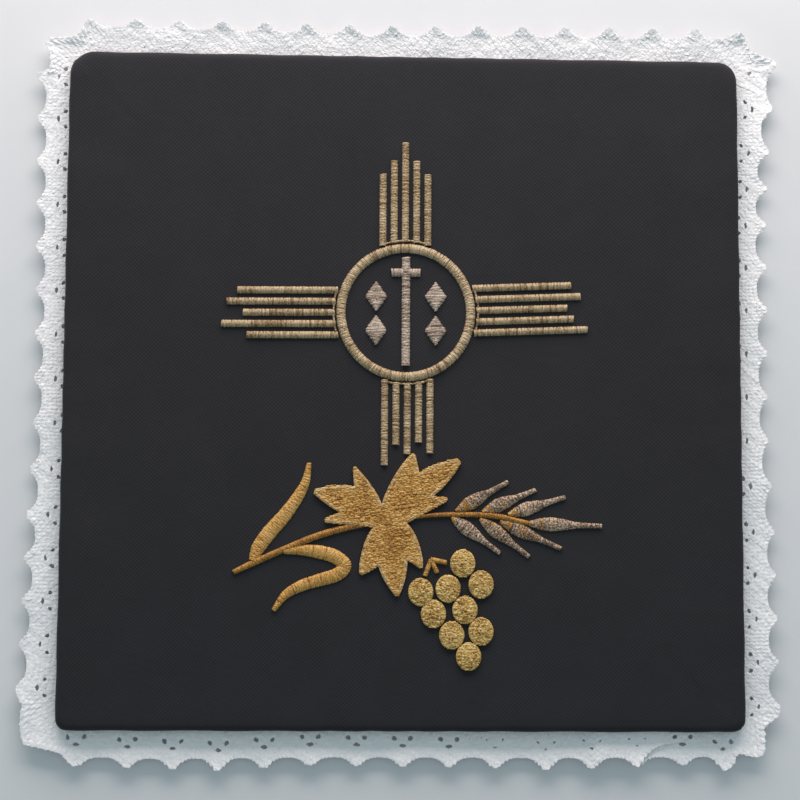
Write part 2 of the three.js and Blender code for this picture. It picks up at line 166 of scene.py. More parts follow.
deselect()
bpy.ops.mesh.primitive_cube_add(size=1, location=(0, 0, widest_height))
cover = bpy.context.object
cover.name = "twill_cover"
cover.scale = (cover_side, cover_side, widest_band)
bpy.ops.object.transform_apply(location=True, rotation=True, scale=True)
bpy.ops.object.mode_set(mode="EDIT")
half = cover_side / 2
for (side_x, side_y), along_x, along_y in corner_radii:
    at_corner = (side_x * half, side_y * half, 0)
    radius = (along_x + along_y) / 2 * MM
    choose("EDGE", lambda edge: all(
        abs(vert.co.x - at_corner[0]) < closeness and abs(vert.co.y - at_corner[1]) < closeness
        for vert in edge.verts))
    bpy.ops.mesh.bevel(offset=radius, segments=10, affect="EDGES")
    reach = radius + closeness
    choose("VERT", lambda vert: (
        abs(vert.co.x - at_corner[0]) < reach and abs(vert.co.y - at_corner[1]) < reach))
    bpy.ops.transform.resize(
        value=(along_x * MM / radius, along_y * MM / radius, 1), center_override=at_corner)
# Each side is divided, so that the pull of the stitches can show along the rim
choose("EDGE", lambda edge: (
    abs(edge.verts[0].co.z - edge.verts[1].co.z) < closeness and edge.calc_length() > half))
bpy.ops.mesh.subdivide(number_cuts=side_cuts)
for upwards, rings in ((1, top_rings), (-1, under_rings)):
    choose("FACE", lambda face: upwards * face.normal.z > 0.9)
    last_inset = 0
    for inset, rise in rings:
        shrink = (half - inset * MM) / (half - last_inset * MM)
        last_inset = inset
        bpy.ops.mesh.extrude_region_move(TRANSFORM_OT_translate={"value": (0, 0, upwards * rise * MM)})
        bpy.ops.transform.resize(value=(shrink, shrink, 1), center_override=(0, 0, 0))
bpy.ops.object.mode_set(mode="OBJECT")

# The cloth isn't quite flat: it swells a little inside the rim, and between the stitches below
rim_swell = 0.05 * MM
swell_place = 5 * MM
swell_width = 3 * MM
swell_end = 12 * MM
stitch_pull = 0.07 * MM
rim_heights = (1.7 * MM, 3.9 * MM)


def uneven_wave(along, fast, slow, sway):
    """A wave from 0 to 2 along a side, whose length wanders."""
    return 1 + math.sin(along * fast + sway * math.sin(along * slow))


for vert in cover.data.vertices:
    x, y, z = vert.co
    inward = half - max(abs(x), abs(y))
    along = x if abs(y) > abs(x) else y
    if z > rim_heights[1] and inward < swell_end:
        vert.co.z -= rim_swell * uneven_wave(along, 410, 97, 2)
        vert.co.z += rim_swell * math.exp(-((inward - swell_place) / swell_width) ** 2)
    elif rim_heights[0] < z < rim_heights[1]:
        pull = 1 - stitch_pull / half * uneven_wave(along, 520, 71, 3)
        vert.co.x *= pull
        vert.co.y *= pull
deselect()
cover.select_set(True)
bpy.context.view_layer.objects.active = cover
bpy.ops.object.shade_smooth_by_angle(angle=math.radians(50))
cover.data.materials.append(black_twill())
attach(cover, "root")
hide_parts("covered_board")


# The lace edging: a bobbin lace strip in soft white cotton. Two families of threads cross each
# other on the slant, over and under, part round three eyelets behind every point, and end at two
# crossed strands along the scallops. A plain tape heads the strip, sewn under the board's rim.
board_half = 75
# The strip turns each corner of the board about a pivot this far out from the middle, both ways
seat = 67.6
# Distances out from the pivots, and the tape's two heights
tape_start = 2
tape_end = 5.6
tape_low = 0.45
tape_high = 1.1
thread_start = 5.4
thread_tuck = 0.25
board_edge = 7.4
middle_line = 10.4
point_steps = 13
point_sharpness = 1.5
end_tip_width = 1
end_tip_slope = 0.3
# Each side, going round anticlockwise: its heading, how much its points curl up, how open its
# eyelets are, and some of its points (number, place along the side, reach past the board, the
# dip after it)
lace_sides = [
    (0, 0.35, 1, [
        (0, -70.7, 8.2, 5.8), (1, -59.6, 8.7, 6.3), (3, -40, 9.4, 6.2), (5, -20.1, 8, 5.9),
        (9, 20.2, 8.6, 5.9), (10, 31.4, 9.1, 6), (13, 61.4, 7.8, 5.7), (14, 70.3, 8.9, 5.6)]),
    (90, 0.5, 0.9, [
        (0, -69.6, 8.5, 5.8), (4, -31.3, 7.9, 5.9), (6, -10.9, 6.7, 4.7), (11, 37.9, 7.1, 4.3),
        (13, 54.5, 7.9, 5.2), (15, 74.8, 9.9, 8)]),
    (180, 0.9, 0.5, [
        (0, -75.9, 7.7, 6.1), (1, -66.1, 8.6, 5.9), (6, -16.7, 8.4, 5.7), (8, 3, 8, 5.4),
        (14, 60.4, 8.5, 6.4), (15, 70.9, 8.2, 6.5)]),
    (270, 0.5, 0.9, [
        (0, -69.7, 7.8, 5.6), (5, -21.2, 7.2, 4.8), (8, 8.3, 6.9, 4.9), (10, 28.6, 7.9, 5.4),
        (14, 66, 9.3, 7)]),
]
# The edge round the corner after each side, where the strip is eased or folded over
lace_corners = [
    [(72.2, -82.7), (73.4, -80), (75.4, -80), (76.6, -80.6), (78.6, -80.6), (79.5, -79.6), (79.4, -74.5),
     (80.6, -73.3), (82.9, -71.6)],
    [(83.9, 76.1), (81.8, 76.8), (79.5, 77.8), (78.4, 79), (77.4, 81.2)],
    [(-71.9, 82.3), (-73.4, 79.6), (-75.2, 78.7), (-77.6, 78.5), (-80.1, 78.3), (-80.8, 77.3), (-80, 75.4),
     (-79.5, 73), (-80.2, 70.9)],
    [(-83.4, -68.2), (-82.4, -69.6), (-82.4, -77), (-81.8, -78.3), (-79.1, -78.8), (-76.1, -79.5),
     (-73.6, -80.3), (-72.2, -82.1)],
]
lace_height = 0.8
# Past the board's edge the strip rises by this much, over this distance, and ripples
free_lift = 0.8
lift_before = 1
lift_run = 7
lace_ripples = [
    # height, how fast it turns along X and along Y (radians a millimetre), and its start
    (0.16, 0.21, 0.17, 0.4), (0.12, 0.21, -0.17, 0.4), (0.1, 0.33, -0.33, 0), (0.03, 1.3, 1.9, 0),
]
# The points curl up from just before the dips between them, and the corners over this width
curl_before = 0.4
curl_width = 2.6
point_curl = 3.2
curl_most = 1.2
curl_bend = 1.3
# Behind each point: two round eyelets by the board and a flat one nearer to the edge, as
# (place along, distance in from the point, half its length, half its width)
eyelets = [(-1.75, 6.6, 0.8, 0.74), (1.75, 6.6, 0.8, 0.74), (0, 5.0, 1.02, 0.6)]
# Along the bottom some are half closed, between these places
small_eyelets = (20, 52)
small_opening = 0.65
# The lap is here along the bottom side. The end on top of it is cut slanting, as (how far past
# the lap, distance from the pivots), and the end below it is drawn in under it
lap_at = 51.4
lap_end = [(0, 15.4), (1.1, 13.5), (3.3, 11.3), (5.5, 10.4), (7.7, 10.1), (10.3, 9.4), (13, 7)]
lap_under = 6.5
lap_over = 13
drawn_in = 0.9
lap_thickness = 0.75
lap_climb_start = 12
lap_climb = 5
thread_pitch = 0.82
thread_slope = 0.62
thread_wide = 0.74
thread_deep = 0.24
thread_wave = 0.055
cotton_white = (0.95, 0.93, 0.925, 1)
cotton_shade = (0.89, 0.87, 0.867, 1)
lace_chance = np.random.default_rng(11)


def turn(points, degrees):
    angle = math.radians(degrees)
    return points @ np.array([[math.cos(angle), math.sin(angle)], [-math.sin(angle), math.cos(angle)]])


def scalloped_side(rows):
    """The edge of one side as points (along, -distance out), the dip there, and its points."""
    number, at, reach, dip = np.array(rows).T
    count = int(number[-1])
    step = np.tile(np.linspace(0.04, 0.96, point_steps), count)
    first = np.repeat(np.arange(count), point_steps)
    tips_at = np.interp(np.arange(count + 1), number, at)
    tips_reach = np.interp(np.arange(count + 1), number, reach)
    along = tips_at[first] * (1 - step) + tips_at[first + 1] * step
    low = np.interp(first + 0.5, number, dip)
    near_point = (1 - np.sin(np.pi * step)) ** point_sharpness
    out = low + (np.interp(first + step, number, reach) - low) * near_point
    along = np.concatenate([[at[0] - end_tip_width / 2], along, [at[-1] + end_tip_width / 2]])
    out = np.concatenate([[reach[0] - end_tip_slope], out, [reach[-1] - end_tip_slope]])
    low = np.concatenate([low[:1], low, low[-1:]])
    return np.stack([along, -board_half - out], 1), low, tips_at, tips_reach


def lace_outline():
    """The strip's outer edge, its curl and where that starts, and the axes of every eyelet."""
    edge, curls, flats, holes = [], [], [], []
    for index, (heading, curl, opening, rows) in enumerate(lace_sides):
        points, low, tips_at, tips_reach = scalloped_side(rows)
        next_curl = lace_sides[(index + 1) % 4][1]
        corner = np.array(lace_corners[index], float)
        corner_reach = np.linalg.norm(corner - np.clip(corner, -seat, seat), axis=1)
        edge += [turn(points, heading), corner]
        curls += [np.full(len(points), curl), np.linspace(curl, next_curl, len(corner) + 2)[1:-1]]
        flats += [board_edge + low - curl_before, corner_reach - curl_width]
        across = turn(np.array([[1, 0], [0, -1]]), heading)
        for at, reach in zip(tips_at, tips_reach):
            half_closed = heading == 0 and small_eyelets[0] < at < small_eyelets[1]
            size = small_opening if half_closed else opening
            for along, inwards, half_long, half_wide in eyelets:
                centre = turn(np.array([[at + along, -board_half - reach + inwards]]), heading)[0]
                holes.append((centre, across, size * half_long, size * half_wide))
    return np.concatenate(edge), np.concatenate(curls), np.concatenate(flats), holes


lace_edge, lace_curl, lace_flat, lace_holes = lace_outline()
lace_pivot = np.clip(lace_edge, -seat, seat)
lace_out = lace_edge - lace_pivot
lace_reach = np.linalg.norm(lace_out, axis=1)
lace_out = lace_out / lace_reach[:, None]
# The strip is measured along its middle, starting at the lap near the right end of the bottom
middle = lace_pivot + lace_out * middle_line
steps_along = np.linalg.norm(np.roll(middle, -1, 0) - middle, axis=1)
places_along = np.concatenate([[0], np.cumsum(steps_along)[:-1]])
lace_length = steps_along.sum()
bottom_count = point_steps * lace_sides[0][3][-1][0]
lap_place = np.interp(lap_at, middle[:bottom_count, 0], places_along[:bottom_count])


def smooth(value):
    value = np.clip(value, 0, 1)
    return value * value * (3 - 2 * value)


def strip_frame(along):
    """Pivot, outward direction, reach, curl and its start, at places measured from the lap."""
    place = (along + lap_place) % lace_length
    columns = np.column_stack([lace_pivot, lace_out, lace_reach, lace_curl, lace_flat]).T
    found = np.stack([
        np.interp(place, places_along, column, period=lace_length) for column in columns], -1)
    pivot, out = found[..., :2], found[..., 2:4]
    out = out / np.linalg.norm(out, axis=-1, keepdims=True)
    past = along - lace_length
    end_reach = np.interp(past, *np.array(lap_end).T)
    reach = np.where(past > 0, np.minimum(found[..., 4], end_reach), found[..., 4])
    reach = reach - drawn_in * smooth((0.5 - along) / 2)
    return pivot, out, reach, found[..., 5], found[..., 6]


def strip_height(flat, distance, curl, curl_start, along):
    """How high the strip's middle is over the table, at places and distances across it."""
    lift = free_lift + sum(size * np.sin(kx * flat[..., 0] + ky * flat[..., 1] + phase)
                           for size, kx, ky, phase in lace_ripples)
    rise = lift * np.clip((distance - board_edge + lift_before) / lift_run, 0, 1)
    tip = curl * np.clip((distance - curl_start) / point_curl, 0, curl_most) ** curl_bend
    lap = lap_thickness * smooth((along - lace_length + lap_climb_start) / lap_climb)
    return lace_height + rise + tip + lap


def part_round_eyelets(flat, slant):
    """Moves slanting threads aside round each eyelet. A thread keeps to one side of it."""
    for centre, axes, half_long, half_wide in lace_holes:
        passing = (np.abs(flat - centre) < 3).all(-1).any(1)
        if not passing.any():
            continue
        local = (flat[passing] - centre) @ axes.T / (half_long, half_wide)
        ahead = np.array([slant / half_long, 1 / half_wide])
        ahead /= np.linalg.norm(ahead)
        aside = np.array([ahead[1], -ahead[0]])
        forward, sideways = local @ ahead, local @ aside
        nearest = np.abs(forward).argmin(1)[:, None]
        side = np.where(np.take_along_axis(sideways, nearest, 1) < 0, -1, 1)
        bulge = np.sqrt(np.clip(1 - (forward * 0.85) ** 2, 0, 1))
        parted = np.cbrt(np.clip(side * sideways, 0, None) ** 3 + bulge ** 3)
        parted = np.where(bulge > 0, side * parted, sideways)
        local = forward[..., None] * ahead + parted[..., None] * aside
        flat[passing] = centre + (local * (half_long, half_wide)) @ axes
    return flat


def give_thread(mesh, shade):
    """Gives a mesh the shade and the UV map that the thread materials read."""
    own = mesh.attributes.new("shade", "FLOAT", "POINT")
    own.data.foreach_set("value", np.full(len(mesh.vertices), shade))
    return mesh.uv_layers.new(name="thread")


def link_piece(name, mesh):
    piece = bpy.data.objects.new(name, mesh)
    bpy.context.collection.objects.link(piece)
    return piece


def strand_mesh(name, paths, wide, deep, shade, aside=None, sides=4, soft=True):
    """A closed piece of many strands. paths is (strand, point, xyz) in millimetres, and each
    strand keeps a shade of its own and a UV map that runs along it."""
    strands, points, _ = paths.shape
    ahead = np.gradient(paths, axis=1)
    ahead /= np.linalg.norm(ahead, axis=-1, keepdims=True) + 1e-12
    if aside is None:
        aside = np.cross(ahead, (0, 0, 1))
    aside = aside / (np.linalg.norm(aside, axis=-1, keepdims=True) + 1e-12)
    upward = np.cross(aside, ahead)
    wide = np.broadcast_to(np.asarray(wide, float), (strands, points))
    deep = np.broadcast_to(np.asarray(deep, float), (strands, points))
    angle = (np.arange(sides) + 0.5) * 2 * math.pi / sides
    reach_out = 1 / math.cos(math.pi / sides)
    ring = (aside[:, :, None] * (np.cos(angle)[:, None] * wide[:, :, None, None] / 2 * reach_out)
            + upward[:, :, None] * (np.sin(angle)[:, None] * deep[:, :, None, None] / 2 * reach_out))
    verts = (paths[:, :, None] + ring).reshape(-1, 3) * MM
    corner = np.arange(strands * points * sides).reshape(strands, points, sides)
    beside = np.roll(corner, -1, 2)
    walls = np.stack([corner[:, :-1], beside[:, :-1], beside[:, 1:], corner[:, 1:]], -1).reshape(-1, 4)
    caps = np.concatenate([corner[:, 0, ::-1], corner[:, -1]])
    mesh = bpy.data.meshes.new(name)
    mesh.from_pydata(verts.tolist(), [], walls[:, ::-1].tolist() + caps[:, ::-1].tolist())
    length = np.concatenate([np.zeros((strands, 1)), np.cumsum(
        np.linalg.norm(np.diff(paths, axis=1), axis=-1), axis=1)], 1)
    run = np.broadcast_to(length[:, :, None], (strands, points, sides + 1))
    turned = np.broadcast_to(np.arange(sides + 1) / sides, run.shape)
    pairs = np.stack([run, turned], -1)
    wall_uv = np.stack([pairs[:, :-1, :-1], pairs[:, :-1, 1:], pairs[:, 1:, 1:], pairs[:, 1:, :-1]], -2)
    wall_uv = wall_uv.reshape(-1, 4, 2)[:, ::-1].reshape(-1, 2)
    uv = give_thread(mesh, np.repeat(shade, points * sides))
    uv.data.foreach_set("uv", np.concatenate([wall_uv, np.zeros((2 * strands * sides, 2))]).ravel())
    mesh.polygons.foreach_set("use_smooth", np.full(len(mesh.polygons), soft))
    mesh.update()
    return link_piece(name, mesh)


def twist_bump(tree, shader, pitch, strength, depth):
    """The ply of a thread, as slanting ridges in its own UV map."""
    uv = add_node(tree, "ShaderNodeUVMap", uv_map="thread").outputs["UV"]
    parts = add_node(tree, "ShaderNodeSeparateXYZ", {"Vector": uv})
    run = add_maths(tree, "MULTIPLY", parts.outputs["X"], 1 / pitch)
    slant = add_maths(tree, "MULTIPLY_ADD", parts.outputs["Y"], 2, run)
    ridge = add_maths(tree, "SINE", add_maths(tree, "MULTIPLY", slant, 2 * math.pi))
    add_bump(tree, shader, ridge, strength, depth)


def white_cotton():
    material, tree, shader = new_material("white_cotton")
    place = add_node(tree, "ShaderNodeTexCoord").outputs["Object"]
    own = add_node(tree, "ShaderNodeAttribute", attribute_name="shade").outputs["Fac"]
    tone = add_maths(tree, "MULTIPLY_ADD", add_noise(tree, place, 700, 4), 0.5, own)
    tree.links.new(ramp(tree, tone, (0.3, cotton_shade), (0.8, cotton_white)), shader.inputs["Base Color"])
    add_bump(tree, shader, add_noise(tree, place, 560, 4), 0.38, 0.7 * MM)
    shader.inputs["Roughness"].default_value = 0.9
    shader.inputs["Specular IOR Level"].default_value = 0.15
    return material


def slanting_threads(name, slant):
    """One family of the lace's threads, from under the board out to the scallops."""
    count = round((lace_length + lap_under + lap_over) / thread_pitch)
    start = (np.arange(count) + 0.5) * thread_pitch - lap_under
    start = start + lace_chance.normal(0, 0.06, count)
    strip_width = 9.6
    across = np.linspace(0, 1, 30)
    along = start[:, None] + slant * thread_slope * strip_width * (across - 0.5)
    along = np.clip(along, -lap_under, lace_length + lap_over)
    pivot, out, reach, curl, curl_start = strip_frame(along)
    distance = thread_start + across * (reach - thread_tuck - thread_start)
    flat = pivot + out * distance[..., None]
    wander = lace_chance.uniform(0, 2 * np.pi, (count, 1, 1))
    flat += out[..., ::-1] * (1, -1) * 0.1 * np.sin(across[None, :, None] * 17 + wander)
    flat = part_round_eyelets(flat, slant * thread_slope)
    crossing = np.pi * 2 * thread_slope * strip_width * (across - 0.5) / thread_pitch
    wave = slant * thread_wave * np.cos(crossing) + lace_chance.normal(0, 0.02, (count, 1))
    height = strip_height(flat, distance, curl, curl_start, along) + wave
    # Crowded threads are squeezed, also where they only part on one side for an eyelet
    apart = np.linalg.norm(np.diff(flat, axis=0), axis=-1) / thread_pitch
    spread = np.minimum(np.concatenate([apart[:1], apart]), np.concatenate([apart, apart[-1:]]))
    wide = thread_wide * np.clip(spread * 1.1, 0.35, 1.15) * lace_chance.uniform(0.92, 1.08, (count, 1))
    paths = np.concatenate([flat, height[..., None]], -1)
    shade = lace_chance.uniform(0.15, 0.5, count)
    return strand_mesh(name, paths, wide, thread_deep, shade, soft=False)


def distances(line):
    """How far along a line each of its points is."""
    return np.concatenate([[0], np.cumsum(np.linalg.norm(np.diff(line, axis=0), axis=1))])


def scallop_cord():
    """Two flat strands that cross each other along the scallops, level with the threads there."""
    step, crossing = 0.24, 1.3
    along = np.arange(-lap_under, lace_length + lap_over, 0.2)
    pivot, out, reach = strip_frame(along)[:3]
    # Evenly spaced places on the edge itself, because the points stretch it
    run = distances(pivot + out * (reach - 0.3)[:, None])
    even = np.interp(np.arange(0, run[-1], step), run, along)
    pivot, out, reach, curl, curl_start = strip_frame(even)
    strands = []
    for half_turn in (0, np.pi):
        phase = 2 * np.pi * np.arange(len(even)) * step / crossing + half_turn
        inwards = 0.32 + 0.09 * np.cos(phase)
        flat = pivot + out * (reach - inwards)[:, None]
        height = strip_height(flat, reach - inwards, curl, curl_start, even) + 0.05 * np.sin(phase)
        strands.append(np.column_stack([flat, height]))
    inner = pivot + out * (reach - 0.8)[:, None]
    slope = height - strip_height(inner, reach - 0.8, curl, curl_start, even)
    aside = np.column_stack([flat - inner, slope])
    return strand_mesh("lace_scallop_cord", np.stack(strands), 0.28, 0.16, np.array([0.4, 0.3]),
                       aside=np.stack([aside, aside]), soft=False)


def heading_tape():
    """The plain tape under the rim, as one closed strip that comes round on itself."""
    along = np.linspace(0, lace_length, 641)[:-1]
    pivot, out = strip_frame(along)[:2]
    section = [
        (tape_start, tape_low), (tape_end, tape_low), (tape_end, tape_high), (tape_start, tape_high)]
    rows = [
        np.column_stack([pivot + out * distance, np.full(len(along), height)])
        for distance, height in section]
    verts = np.stack(rows, 1).reshape(-1, 3) * MM
    faces = []
    for first in range(0, len(verts), 4):
        following = (first + 4) % len(verts)
        for corner in range(4):
            beside = (corner + 1) % 4
            faces.append((first + corner, first + beside, following + beside, following + corner))
    mesh = bpy.data.meshes.new("lace_heading_tape")
    mesh.from_pydata(verts.tolist(), [], faces)
    give_thread(mesh, 0.3)
    return link_piece("lace_heading_tape", mesh)


cotton = white_cotton()
lace_left = slanting_threads("lace_threads_left", -1)
lace_right = slanting_threads("lace_threads_right", 1)
scallops = scallop_cord()
tape = heading_tape()
for piece in (lace_left, lace_right, scallops, tape):
    piece.data.materials.append(cotton)
    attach(piece, "root")
    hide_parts("lace_edging")


# The ring and the rays: satin columns in dull old-gold metallic thread. Every stitch is one
# thread laid from edge to edge of its column, and a run of small stitches joins the rays of an
# arm where they start beside the ring.
design_centre = np.array([0.2, 16.7])
ring_radius = 15.4
ring_band = 2
ray_width = 1.5
ray_spacing = 2.5
ray_height = 0.62
ray_clearance = 0.4
ray_arms = [
    # heading, shift across, lean, and the reaches of its five rays from the ring's centre
    ("right", 0, 0.55, 2.4, (40.4, 37.3, 35.9, 38.9, 36.8)),
    ("up", 90, 0.2, 0, (31.1, 34.1, 38.3, 34.2, 31.1)),
    ("left", 180, 0.2, 0.5, (37.3, 39.6, 36, 40.7, 35.1)),
    ("down", 270, 0.4, 0, (34, 29.5, 31.5, 28.9, 31.3)),
]
stitch_pitch = 0.36
stitch_wide = 0.46
stitch_deep = 0.25
face_height = 4.0
old_gold = [(0.1, (0.18, 0.105, 0.045, 1)), (0.45, (0.425, 0.305, 0.168, 1)), (0.9, (0.59, 0.47, 0.31, 1))]
gold_chance = np.random.default_rng(23)


def metallic_thread(name, stops, fleck=1.3, worn=0.6):
    material, tree, shader = new_material(name)
    place = add_node(tree, "ShaderNodeTexCoord").outputs["Object"]
    own = add_node(tree, "ShaderNodeAttribute", attribute_name="shade").outputs["Fac"]
    # Fine flecks and broad worn spots make the thread darker in some places and lighter in others
    tone = add_maths(tree, "MULTIPLY_ADD", add_noise(tree, place, 2800, 2), fleck, own)
    tone = add_maths(tree, "MULTIPLY_ADD", add_noise(tree, place, 170, 2), worn, tone)
    tone = add_maths(tree, "SUBTRACT", tone, (fleck + worn) / 2)
    tree.links.new(ramp(tree, tone, *stops), shader.inputs["Base Color"])
    twist_bump(tree, shader, 0.5, 0.2, 0.04 * MM)
    shader.inputs["Metallic"].default_value = 0.2
    shader.inputs["Roughness"].default_value = 0.62
    return material


def satin_stitches(places, ahead, widths, height, chance, inner=3, dimple=0.1):
    """Stitches over a column: one for each place on its middle line, with the line's direction
    and the column's width there. Returns their paths and the direction beside each of them."""
    count = len(places)
    share = np.concatenate([[-0.5, -0.44], np.linspace(-0.3, 0.3, inner), [0.44, 0.5]])
    share = np.tile(share, (count, 1))
    share[:, 2:-2] += chance.uniform(-0.2, 0.2, (count, inner)) / inner
    rise = 1 - np.abs(2 * share) ** 3
    rise[:, 2:-2] -= dimple * chance.random((count, inner)) ** 3
    across = np.column_stack([-ahead[:, 1], ahead[:, 0]])
    lean = np.where(np.arange(count) % 2, 0.05, -0.05) + chance.normal(0, 0.03, count)
    reach = share * ((widths - 0.12) * chance.uniform(0.96, 1.04, count))[:, None]
    flat = (places[:, None] + across[:, None] * reach[..., None]
            + ahead[:, None] * (2 * share * lean[:, None])[..., None])
    high = np.broadcast_to(height, count) - 0.16 + chance.normal(0, 0.02, count)
    lift = face_height + 0.08 + rise * high[:, None]
    beside = np.broadcast_to(np.column_stack([ahead, np.zeros(count)])[:, None], flat.shape[:2] + (3,))
    return np.concatenate([flat, lift[..., None]], -1), beside


def straight_column(start, aim, length, width, height, chance):
    ahead = np.array([math.cos(math.radians(aim)), math.sin(math.radians(aim))])
    count = max(round(length / stitch_pitch), 2)
    run = (np.arange(count) + 0.5) * length / count + chance.normal(0, 0.03, count)
    places = np.asarray(start) + ahead * run[:, None]
    return satin_stitches(places, np.tile(ahead, (count, 1)), np.full(count, width), height, chance)


def stitch_shades(count, chance, brightness, spread=0.14):
    """A shade for each stitch, with the odd one much darker."""
    shades = chance.normal(brightness, spread, count)
    shades[chance.random(count) < 0.04] -= 0.3
    return np.clip(shades, 0.02, 0.98)


def satin_piece(name, groups, chance, brightness=0.5, spread=0.11):
    """One piece out of groups of satin stitches."""
    paths = np.concatenate([paths for paths, _ in groups])
    beside = np.concatenate([beside for _, beside in groups])
    count = len(paths)
    wide = stitch_wide * chance.uniform(0.9, 1.08, (count, 1))
    shades = stitch_shades(count, chance, brightness, spread)
    return strand_mesh(name, paths, wide, stitch_deep, shades, aside=beside, sides=6)


# A flat stitch: shares of its length, and how far it dips into the cloth at each
stitch_share = np.array([0, 0.12, 0.5, 0.88, 1])
stitch_dip = np.array([-0.17, -0.03, 0, -0.03, -0.17])


def laid_stitch(start, end, height):
    """A flat stitch, as a path that goes down into the cloth at both ends."""
    flat = np.asarray(start) + (np.asarray(end) - start) * stitch_share[:, None]
    return np.column_stack([flat, face_height + height + stitch_dip])


def laid_piece(name, paths, chance, brightness=0.5, spread=0.14):
    """One piece out of flat stitches."""
    paths = np.array(paths)
    count = len(paths)
    wide = 0.4 * chance.uniform(0.88, 1.12, (count, 1))
    shades = stitch_shades(count, chance, brightness, spread)
    return strand_mesh(name, paths, wide, stitch_deep, shades, sides=6)


ring_middle = ring_radius - ring_band / 2
ring_count = round(2 * math.pi * ring_middle / stitch_pitch)
ring_angle = 2 * math.pi * (np.arange(ring_count) + gold_chance.normal(0, 0.07, ring_count)) / ring_count
ring_places = design_centre + ring_middle * np.column_stack([np.cos(ring_angle), np.sin(ring_angle)])
ring_ahead = np.column_stack([-np.sin(ring_angle), np.cos(ring_angle)])
ring_stitches = satin_stitches(ring_places, ring_ahead, np.full(ring_count, ring_band), 0.76, gold_chance)
gold_thread = metallic_thread("old_gold_thread", old_gold)
ring = satin_piece("ring_satin", [ring_stitches], gold_chance)
ring.data.materials.append(gold_thread)
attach(ring, "root")
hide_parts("ring")

joining_run = []
for arm, heading, shift, lean, reaches in ray_arms:
    columns, starts = [], []
    for index, reach in enumerate(reaches):
        across = (index - 2) * ray_spacing + shift
        begin = math.sqrt((ring_radius + ray_clearance) ** 2 - across ** 2)
        start = design_centre + turn(np.array([[begin, across]]), heading)[0]
        columns.append(straight_column(
            start, heading + lean, reach - begin, ray_width, ray_height, gold_chance))
        starts.append(design_centre + turn(np.array([[begin + 0.3, across]]), heading)[0])
    for first, second in zip(starts, starts[1:]):
        middle = (first + second) / 2 + gold_chance.normal(0, 0.05, 2)
        joining_run += [laid_stitch(first, middle, 0.34), laid_stitch(middle, second, 0.34)]
    rays = satin_piece(f"rays_{arm}", columns, gold_chance, brightness=0.41)
    rays.data.materials.append(gold_thread)
    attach(rays, "root")
    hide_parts(*[f"ray_{arm}_{index + 1}" for index in range(len(reaches))])
joins = laid_piece("ray_joining_run", joining_run, gold_chance, brightness=0.35)
joins.data.materials.append(gold_thread)
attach(joins, "root")


# The cross and the four lozenges inside the ring: the same satin columns in a paler, rosier
# thread, with the long column of the cross laid over its bar.
pale_stops = [(0.1, (0.15, 0.1, 0.07, 1)), (0.45, (0.38, 0.29, 0.22, 1)), (0.9, (0.59, 0.49, 0.4, 1))]
cross_height = 24.2
cross_lift = 0.2
cross_width = 1.8
bar_length = 6.4
bar_drop = 3.4
lozenge_width = 4.6
lozenge_height = 6.4
lozenges = [("top_left", -6.6, 3.5), ("top_right", 6.6, 3.5), ("bottom_left", -6.6, -4.1),
            ("bottom_right", 6.6, -4.1)]
pale_chance = np.random.default_rng(31)
pale_thread = metallic_thread("pale_thread", pale_stops)

cross_foot = design_centre + (0, cross_lift - cross_height / 2)
bar_start = cross_foot + (-bar_length / 2, cross_height - bar_drop)
columns = [
    straight_column(bar_start, 0, bar_length, cross_width, 0.6, pale_chance),
    straight_column(cross_foot, 90, cross_height, cross_width, 0.74, pale_chance),
]
pieces = [(satin_piece("cross_satin", columns, pale_chance), "inner_cross")]
for place, x, y in lozenges:
    count = round(lozenge_height / stitch_pitch)
    rise = ((np.arange(count) + 0.5) / count - 0.5) * lozenge_height
    widths = lozenge_width * (1 - np.abs(rise) / (lozenge_height / 2)) + 0.25
    middle = design_centre + (x, y) + np.column_stack([np.zeros(count), rise])
    stitches = satin_stitches(middle, np.tile((0.0, 1.0), (count, 1)), widths, 0.7, pale_chance)
    pieces.append((satin_piece(f"lozenge_{place}_satin", [stitches], pale_chance), f"lozenge_{place}"))
for piece, node_name in pieces:
    piece.data.materials.append(pale_thread)
    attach(piece, "root")
    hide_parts(node_name)


# The vine spray, in warm gold thread: satin stitches across the blades and the stem, and short
# level fill stitches over the padded leaf, with an outline run along its edges. The run, and the
# fill near the edges, are painted lighter and greyer: a painted highlight where the edges slope.
leaf_centre = np.array([-2.6, -28.8])
# aim and reach of a lobe, then turn, length and fullness of the tooth before and after it, and
# the aim and distance of the fork that follows
leaf_lobes = [
    (40.4, 19.4, (21.3, 12.8, 0.8), (30.9, 14.7, 1.1), (131, 3.6)),
    (162, 18, (34.4, 13.8, 0.3), (21, 14.8, 0.6), (209, 4.6)),
    (273.8, 17.1, (32.4, 14.2, 1.1), (26.9, 12.7, 1.35), (337, 3.4)),
]
notch_turn = 0.6
notch_reach = 0.78
bluntness = 1.5
# The stem and the blades: places on the middle line, and the width at each
stem_line = (
    [(-37.1, -40.9), (-32.5, -38.7), (-26, -35.8), (-18, -32.6), (-8, -30), (4, -28.4), (12, -28),
     (20, -28.3), (27.3, -29.8)],
    [1, 1.3, 1.3, 1.4, 1.4, 0.8, 0.95, 1.2, 0.9])
straight_blade = (
    [(-32.9, -38.4), (-31.8, -35.6), (-29.3, -32.1), (-26.1, -28.4), (-23.3, -24.4), (-21.6, -21),
     (-20.9, -17)],
    [1.8, 3, 3.2, 3, 2.5, 1.8, 0.9])
folded_blade = (
    [(-26.2, -36.2), (-22.5, -36), (-18.6, -36.4), (-15.1, -37.4), (-12.9, -39.3), (-14.6, -41.3),
     (-18.4, -42.5), (-22.4, -43.8), (-25.8, -45.8), (-28.3, -49.1)],
    [1.3, 2.2, 2.9, 3, 2.9, 2.9, 2.7, 2.4, 1.8, 0.9])
